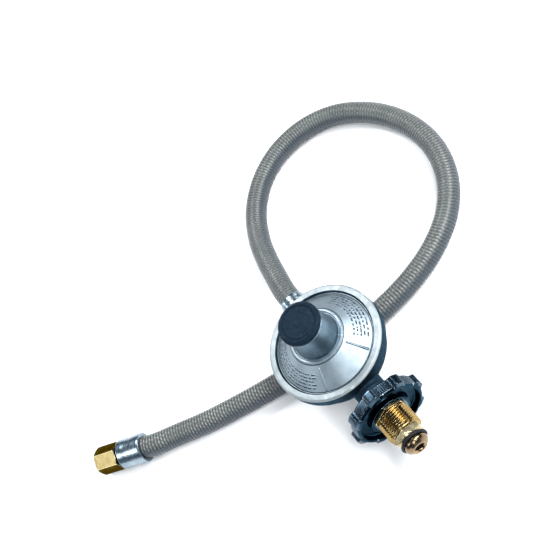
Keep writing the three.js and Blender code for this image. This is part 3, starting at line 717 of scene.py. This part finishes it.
# ------------------------------------------------------------------ body
body = turned(
    "regulator_shell",
    [
        (BASE_Z, 0.01), (BASE_Z, 22, 1.5), (BASE_Z + 1.6, 25, 2), (BASE_Z + 5, 31.5, 3),
        (BASE_Z + 9, 35, 3), (BASE_Z + 12, 36, 2), (33.9, 36, 0.6), (34.5, 38.6, 0.5),
        (35.2, RING_R, 0.4), (RING_Z - 1.2, RING_R, 0.9), (RING_Z, RING_R - 1.2, 0.7),
        (RING_Z, 34.6, 0.5), (RING_Z - 0.5, 33.9, 0.3), (RING_Z - 1.4, 33.5),
        (RING_Z - 1.4, 36.9), (36.4, 36.9), (36.4, 32), (27.5, 32, 2), (22, 29, 3),
        (BODY_FLOOR_Z, 23, 2), (BODY_FLOOR_Z, 0.01),
    ],
    on_tower, 192, closed=False, materials=(CASTING_SHADED, RIM_LIT),
)
combine(  # the inlet's boss and the outlet's
    body,
    [
        turned("tool", [(20, 0.01), (20, 10.5), (41.2, 10.5, 0.8), (42, 11.2, 0.6),
                        (45, 11.2, 0.6), (45, 0.01)], on_port, 96, closed=False),
        rod(-38.6, -20, 8.6, fillet=0.6, sides=96),
    ],
    "UNION",
)
chamber_z = BODY_FLOOR_Z + 0.01
combine(
    body,
    [
        turned("tool", [(chamber_z, 0.01), (chamber_z, 23, 2), (22, 29, 3), (27.5, 32, 2),
                        (36.5, 32), (36.5, 0.01)], on_tower, 96, closed=False),
    ],
    "DIFFERENCE",
)
combine(body, [block(6.6, 31.9, -8, 8, 18, 32)], "UNION")  # carries the valve
combine(  # inlet, valve guide, outlet, the lever's slot and the post's pocket
    body,
    [
        rod(12.9, 46, 6.3), rod(5.8, 14.5, 2.9), rod(-40, -26, STEM_R + 0.3),
        block(5, 16.2, -2.3, 2.3, 18.4, 29.6), rod(17.1, 20, 4.6, on_tower),
    ],
    "DIFFERENCE",
)
# the top of the rim takes the lighter copy painted as lit, the rest the very dark copy painted as
# shade
for face in body.data.polygons:
    centre = face.center / MM
    outward = math.hypot(centre.x - TOWER_X, centre.y)
    in_groove = outward < GROOVE_R and centre.z < RING_Z - 0.15
    face.material_index = int(centre.z > RING_Z - 1.5 and outward > 33.4 and not in_groove)
finish_piece(body, "regulator", ["regulator_body"])


# ------------------------------------------------------------------ bonnet
def raised_marks():
    """Plain raised dashes in arcs on the cone: (angle, distance up the slope, width)."""
    random = np.random.default_rng(7)
    dashes = []
    for first, last in MARKED_ARCS:
        for distance in MARKED_ROWS:
            radius = CONE_FOOT[0] - distance * math.cos(CONE_SLOPE)
            angle = math.radians(first) + random.uniform(0, 0.05)
            while angle < math.radians(last):
                wide = random.choice(DASH_WIDTHS)
                dashes.append((angle + wide / 2 / radius, distance, wide))
                angle += (wide + random.choice(DASH_GAPS)) / radius
    return dashes


def arc_between(angle, at, radius):
    """The distance round a circle between two angles, the shorter way."""
    return np.abs((angle - at + TURN / 2) % TURN - TURN / 2) * radius


def cone_relief(distance, angle, radius):
    """Heights of the raised dashes and of the ridges, at a distance up the slope."""

    def inside(off, size):
        return 1 - smooth_step(off, size / 2 - 0.1, size / 2 + 0.25)

    dashes, ridges = np.zeros_like(distance), np.zeros_like(distance)
    for at, middle, wide in raised_marks():
        across = arc_between(angle, at, radius)
        bar = inside(across, wide) * inside(np.abs(distance - middle), DASH_DEPTH)
        dashes = np.maximum(dashes, DASH_HEIGHT * bar)
    for at in RIDGES_AT:
        across = arc_between(angle, math.radians(at), radius)
        run = smooth_step(distance, 1.2, 1.8) * (1 - smooth_step(distance, 15.4, 16.6))
        ridges = np.maximum(ridges, RIDGE_HEIGHT * run * (1 - smooth_step(across, 0.25, 0.6)))
    return dashes, ridges


def bonnet_piece():
    foot, top = Vector(CONE_FOOT), Vector(CONE_TOP)
    foot_z = CONE_TOP[1]
    cone = [tuple(foot.lerp(top, k / CONE_RINGS))[::-1] for k in range(2, CONE_RINGS + 1)]
    outside = rounded(
        [
            (foot_z, 18.5), (foot_z + 0.4, 18.1, 0.2), (foot_z + 1.2, 17.8, 0.4),
            (foot_z + 1.2, 16.4, 0.4), (foot_z + 0.4, 16, 0.3), (foot_z + 0.5, 15.3, 0.3),
            (foot_z + 2, 15, 0.5), (TOWER_TOP_Z - 0.2, 13.4, 0.3), (TOWER_TOP_Z, 13.1, 0.2),
            (TOWER_TOP_Z, TOWER_BORE_R, 0.2), (foot_z - 0.8, TOWER_BORE_R), (foot_z - 2.3, 15.8),
            (RING_Z - 2.4, 30.6), (38.2, 30.6), (38.2, 36.6), (RING_Z - 1.7, 36.6),
            (RING_Z - 1.7, 33.2), (RING_Z - 1.7, 33.15),
        ],
        closed=False, steps=4,
    )
    rings = rings_of(cone + outside, BONNET_SIDES)
    angle = angles(BONNET_SIDES)
    count = len(cone)
    distance = np.array([math.dist((r, z), CONE_FOOT) for z, r in cone])[:, None] + 0 * angle
    radius = np.array([r for _, r in cone])[:, None] + 0 * angle
    dashes, ridges = cone_relief(distance, angle[None] + 0 * distance, radius)
    height = np.maximum(dashes, ridges)
    rings[:count, :, 0] += height * math.cos(CONE_SLOPE)
    grown = 1 + height * math.sin(CONE_SLOPE) / radius
    rings[:count, :, 1] *= grown
    rings[:count, :, 2] *= grown
    bonnet = skin("bonnet_shell", on_tower(rings), True, (BONNET, TOWER_SHADED))
    # painted shade, kept as a point attribute: dark along the sides of the first ridge, over the
    # dashes, and in bands at the foot and the top of the cone
    steepness = np.abs(np.gradient(ridges, axis=1)) / (TURN / BONNET_SIDES * radius)
    grime_and_shade = np.zeros(rings.shape[:2])
    edge = np.maximum(1 - smooth_step(distance, 0.5, 1.0),
                      smooth_step(distance, CONE_LENGTH - 0.7, CONE_LENGTH - 0.3))
    ridge_shade = smooth_step(steepness, 0.15, 0.6) * (angle < TURN / 2)  # only the first one
    shaded_marks = np.maximum(ridge_shade, smooth_step(dashes, 0.05, 0.2))
    grime_and_shade[:count] = np.maximum(shaded_marks, edge)
    painted = bonnet.data.attributes.new("grime_and_shade", "FLOAT", "POINT")
    painted.data.foreach_set("value", grime_and_shade.astype(np.float32).ravel())
    vent = turned("tool", [(42, 0.01), (42, VENT_R), (62, VENT_R), (62, 0.01)],
                  lambda p: on_tower(p) + np.array((VENT_X, 0, 0)), 32, closed=False)
    combine(bonnet, [vent], "DIFFERENCE")
    # the tower's faces take the darker copy of the casting, painted as shade
    for face in bonnet.data.polygons:
        centre = face.center / MM
        on_foot = math.hypot(centre.x - TOWER_X, centre.y) < TOWER_FOOT_R
        face.material_index = int(on_foot and centre.z > foot_z + 0.3)
    return bonnet


finish_piece(bonnet_piece(), "regulator", ["bonnet"], sharp=40)

# ------------------------------------------------------------------ cap and its seal
seal_z = TOWER_TOP_Z + 0.3
seal = turned(
    "cap_seal_ring",
    [(seal_z, TOWER_BORE_R, 0.2), (seal_z, SEAL_R, 0.3), (seal_z + 0.8, SEAL_R, 0.3),
     (seal_z + 0.8, TOWER_BORE_R, 0.2)],
    on_tower, 128, materials=(RUBBER,),
)
finish_piece(seal, "cap_seal", ["cap_gasket"])


def cap_piece():
    top = CAP_TOP_Z
    plug = TOWER_TOP_Z - 6
    profile = rounded(
        [
            (CAP_Z, 0.02), (CAP_Z, 8.5), (plug, 8.5, 0.2), (plug, 11.2, 0.4), (CAP_Z, 11.2),
            (CAP_Z, CAP_R - 0.4, 0.4), (CAP_Z + 0.6, CAP_R, 0.4), (top - 1.3, CAP_R, 0.5),
            (top - 0.1, 12.7, 0.5), (top, 12.2, 0.3), (top, 11.6, 0.3), (top - 0.6, 11.1, 0.3),
            (top - 0.6, 10.6, 0.3), (top - 0.2, 10.1, 0.3),
        ],
        closed=False,
    )
    disc = [(top - 0.2, r) for r in np.arange(9.8, 0.2, -0.2)] + [(top - 0.2, 0.02)]
    sides = 192
    rings = rings_of(profile + disc, sides)
    angle = angles(sides)
    first = len(profile)
    for k, (_, r) in enumerate(disc):
        arc = smooth_step(np.cos(3 * angle + 0.4), 0.1, 0.35)
        band = smooth_step(r, 6.1, 6.5) * (1 - smooth_step(r, 7.9, 8.3))
        boss = 1 - smooth_step(r, 2.4, 3.2)
        rings[first + k, :, 0] += 0.2 * arc * band + 0.15 * boss
    side = (rings[..., 0] > CAP_Z + 0.9) & (rings[..., 0] < top - 1.2)
    outer = side & (np.hypot(rings[..., 1], rings[..., 2]) > CAP_R - 0.2)
    flute = 1 - 0.012 * (0.5 + 0.5 * np.cos(CAP_FLUTES * angle))[None] * outer
    rings[..., 1] *= flute
    rings[..., 2] *= flute
    return skin("vent_cover", on_tower(rings), False, (CAP,))


finish_piece(cap_piece(), "cap", ["vent_cap"])


# ------------------------------------------------------------------ handwheel
def wheel_piece():
    hexagonal = hexagon(WHEEL_HEX_AF)
    hexed = -1  # marks a ring that takes the hexagon's outline
    back, front = WHEEL_BACK_X, WHEEL_FRONT_X
    valley = WHEEL_VALLEY_R
    outer = [
        (HUB_BACK_X, 9.9, 0.3), (HUB_BACK_X, HUB_R, 0.9), (back, HUB_R, 0.6), (back, 15.6, 0.5),
        (back + 1.5, 16, 0.6), (back + 1.5, 20.6, 0.6), (back, 21.4, 0.5),
        (back, valley - 1.2, 0.9), (back + 1.2, valley, 0.9), (front - 1.4, valley, 1.0),
        (front, valley - 1.3, 0.9), (front, 21.7, 0.5), (front - 4.0, 20.6, 0.9),
        (front - 4.8, 15.2, 1.0), (front - 3.4, HUB_R, 0.8), (front + 0.2, HUB_R, 0.7),
        (front + 0.2, 12.9, 0.3),
    ]
    profile = refine(rounded(outer, closed=False), closed=False, step=0.8)
    hole = [(front + 0.2, hexed), (front - 3, hexed), (back, hexed), (back, 9.9)]

    def shape(along, radius, angle):
        lobe = smooth_step(np.cos(LOBES * angle), 0.1, 0.8)
        weight = smooth_step(radius, 22.2, valley)
        knurl = 0.12 * np.cos(KNURLS * angle) * (1 - lobe) * (radius > valley - 0.05)
        lobed = radius + LOBE_HEIGHT * lobe * weight + knurl
        return np.where(radius == hexed, hexagonal(angle), lobed)

    rings = rings_of(profile + hole, WHEEL_SIDES, shape)
    wheel = skin("lobed_wheel", on_port(rings), True, (WHEEL_SHADED, WHEEL_RIM_LIT))
    # the rim's outer wall takes the lighter copy of the plating, painted as lit
    for face in wheel.data.polygons:
        centre = face.center / MM
        along, out = centre.x - TOWER_X, math.hypot(centre.y, centre.z - PORT_Z)
        face.material_index = int(out > valley - 0.6 and back + 0.4 < along < front - 0.3)
    return wheel


finish_piece(wheel_piece(), "inlet_nut", ["handwheel"], sharp=38)


# ------------------------------------------------------------------ inlet nut, nipple, ring
def nut_piece():
    hexed, chamfered, threads = -1, -2, -3  # mark the rings that shape() works out
    root = THREAD_R - THREAD_DEPTH
    hexagonal = hexagon(INLET_HEX_AF)
    back = THREAD_X0 - 13
    hex_x = WHEEL_BACK_X + 0.6
    x0 = THREAD_X0 + 0.6
    profile = [(back, 7.9), (back, NECK_R - 0.3), (back + 0.3, NECK_R), (hex_x, NECK_R),
               (hex_x, hexed), (x0 - 0.3, hexed), (x0, chamfered)]
    profile += [(x, threads) for x in np.arange(x0, THREAD_X1 - 0.2, INLET_PITCH / 14)]
    profile += [(THREAD_X1 - 0.2, root - 0.3), (THREAD_X1, root - 0.6), (THREAD_X1, 8.1),
                (THREAD_X1 - 0.2, 7.9)]

    def shape(along, radius, angle):
        turn = along / INLET_PITCH + angle / TURN  # left-handed
        ridge = np.clip(1.25 * (1 - np.abs(2 * (turn % 1) - 1)) - 0.1, 0, 1)
        fade = smooth_step(along, x0 + 0.2, x0 + 1.3) * (
            1 - smooth_step(along, THREAD_X1 - 1.5, THREAD_X1 - 0.2)
        )
        threaded = root - 0.25 * (1 - fade) + THREAD_DEPTH * ridge * fade
        quarter = TURN / 4
        off_slot = np.abs((angle + quarter) % quarter - quarter / 2) * THREAD_R
        slotted = 1 - smooth_step(off_slot, 1.0, 1.2)
        run = smooth_step(along, x0 + 0.9, x0 + 1.3)
        threaded = threaded - (threaded - root + 0.3) * slotted * run
        outline = np.minimum(hexagonal(angle), 11.9)
        out = np.where(radius == hexed, outline, radius)
        out = np.where(radius == chamfered, outline - 0.4, out)
        return np.where(radius == threads, threaded, out)

    return skin("threaded_nut", on_port(rings_of(profile, 288, shape)), True, (BRASS,))


finish_piece(nut_piece(), "inlet_nut", ["pol_nut"], sharp=35)


def nipple_piece():
    hexagonal = hexagon(NIPPLE_HEX_AF)
    hexed = -1  # marks a ring that takes the hexagon's outline
    bore = NIPPLE_BORE_R
    steps = np.arange(0, 5.01, 0.2)
    profile = rounded([(31.5, bore, 0.2), (31.5, 6, 0.3), (45.4, 6), (45.4, 7.6, 0.3),
                       (HEX_X0 - 0.1, 7.6)], closed=False)
    profile += [(HEX_X0 + s, hexed) for s in steps]
    profile += rounded(
        [
            (HEX_X1, 8.0), (HEX_X1, 7.4), (HEX_X1 + 2.6, 7.4), (HEX_X1 + 2.6, 8.1, 0.3),
            (HEX_X1 + 4.2, 8.0, 1.5), (NOSE_X - 1.6, 7.2, 2.0), (NOSE_X, 5.4, 1.0),
            (NOSE_X, 4.0, 0.5), (NOSE_X - 0.9, bore, 0.4), (31.6, bore),
        ],
        closed=False,
    )

    def shape(along, radius, angle):
        chamfer = np.minimum(9.9 + 1.0 * (along - HEX_X0), 8.5 + 0.95 * (HEX_X1 - along))
        return np.where(radius == hexed, np.minimum(hexagonal(angle), chamfer), radius)

    nipple = skin("inlet_nipple", on_port(rings_of(profile, 288, shape)), True,
                  (HEX_BRASS_LIT, NOSE_BRASS_SHADED))
    # the nose takes the darker copy painted as shade, the hex the lighter copy painted as lit
    for face in nipple.data.polygons:
        face.material_index = int(face.center.x / MM - TOWER_X > HEX_X1 - 0.1)
    return nipple


finish_piece(nipple_piece(), "regulator", ["pol_nipple"], sharp=28)

seal_wire_r = 0.93
o_ring = turned(
    "nose_seal",
    [(HEX_X1 + 1.3 + seal_wire_r * math.cos(a), 8.6 + seal_wire_r * math.sin(a))
     for a in angles(24)],
    on_port, 128, materials=(RUBBER,),
)
finish_piece(o_ring, "regulator", ["nose_o_ring"])


# ------------------------------------------------------------------ floor and light
def floor():
    mesh = bpy.data.meshes.new("floor")
    half, level = 4.0, -0.0002  # metres
    corners = [(-half, -half, level), (half, -half, level), (half, half, level),
               (-half, half, level)]
    mesh.from_pydata(corners, [], [(0, 1, 2, 3)])
    obj = bpy.data.objects.new("floor", mesh)
    bpy.context.scene.collection.objects.link(obj)
    s = Shader("floor_paper", (0.9, 0.9, 0.9), 0.0, 0.95)
    s.color(s.mix(s.noise(3), (0.89, 0.89, 0.89), (0.91, 0.91, 0.91)))
    mesh.materials.append(s.material)


def lamp(name, location, target, size, power):
    """An area lamp: metres and watts."""
    data = bpy.data.lights.new(name, "AREA")
    data.shape = "RECTANGLE"
    data.size, data.size_y = size
    data.energy = power
    obj = bpy.data.objects.new(name, data)
    bpy.context.scene.collection.objects.link(obj)
    obj.location = location
    aim = Vector(target) - Vector(location)
    obj.rotation_euler = aim.to_track_quat("-Z", "Y").to_euler()


floor()
lamp("key", (0.62, 0.50, 1.13), (0, 0, 0), (0.6, 0.6), 14)
lamp("wide", (0.12, 0.95, 1.0), (0, 0, 0), (0.6, 0.6), 27)
lamp("top", (-0.75, -0.04, 1.0), (-0.05, 0, 0), (0.35, 0.35), 9)
lamp("left", (-0.9, 1.05, 0.6), (0, 0, 0), (0.25, 0.45), 2)
lamp("right", (-0.8, -1.1, 0.5), (0, 0, 0), (0.25, 0.45), 3)
lamp("front", (-0.02, -1.08, 1.05), (-0.05, -0.1, 0), (0.5, 0.5), 8)
lamp("near", (0.95, -0.12, 0.75), (0, 0, 0), (0.3, 0.3), 4)

world = bpy.data.worlds.new("studio")
bpy.context.scene.world = world
world.use_nodes = True
background = world.node_tree.nodes["Background"]
background.inputs["Color"].default_value = (0.10, 0.16, 0.23, 1)
background.inputs["Strength"].default_value = 0.9
bpy.context.scene.view_settings.view_transform = "Standard"
